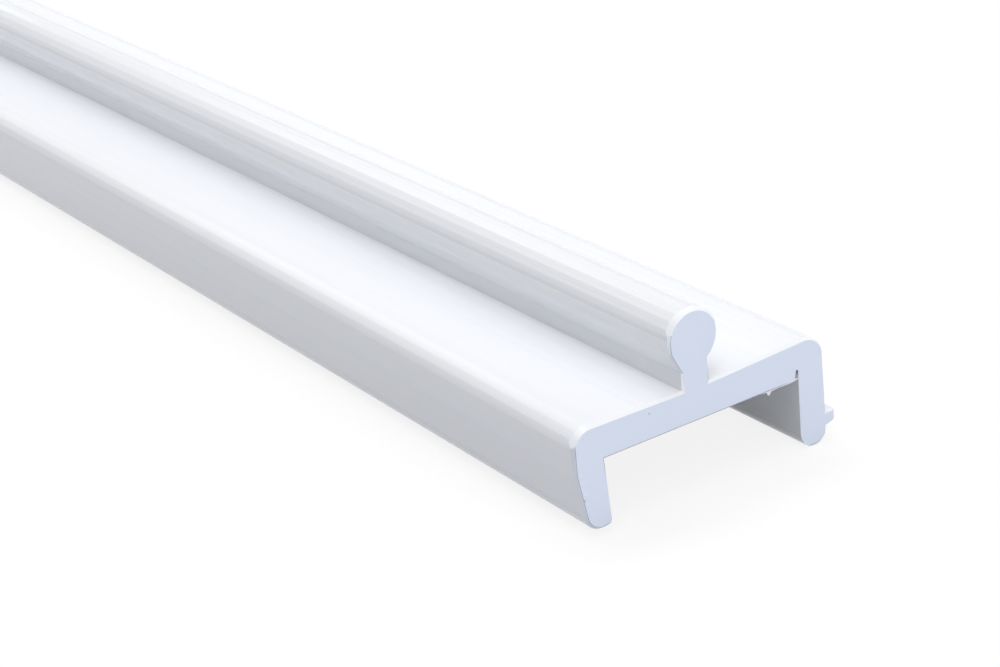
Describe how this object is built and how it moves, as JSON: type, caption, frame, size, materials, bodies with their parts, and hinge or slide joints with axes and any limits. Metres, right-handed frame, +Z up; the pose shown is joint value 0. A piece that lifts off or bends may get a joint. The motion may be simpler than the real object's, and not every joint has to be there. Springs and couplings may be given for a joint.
{
  "type": "sliding door bottom track",
  "caption": "White plastic sliding door bottom track: a channel that snaps over a sill, with a round-headed roller rail on top and a snap barb on one leg.",
  "frame": {"origin": "mid length, under the middle of the overall width, level with the foot of the longer leg", "axes": "+Z up through the rail, +Y along the length away from the cut end that the picture shows, +X across the width towards the barbed leg"},
  "size_m": [0.0264, 1.829, 0.0162],
  "materials": {
    "white_pvc": "white rigid vinyl, semi-gloss as drawn from the die, matte on the cut ends"
  },
  "bodies": {
    "root": {"track_rail": "white_pvc"}
  },
  "joints": []
}
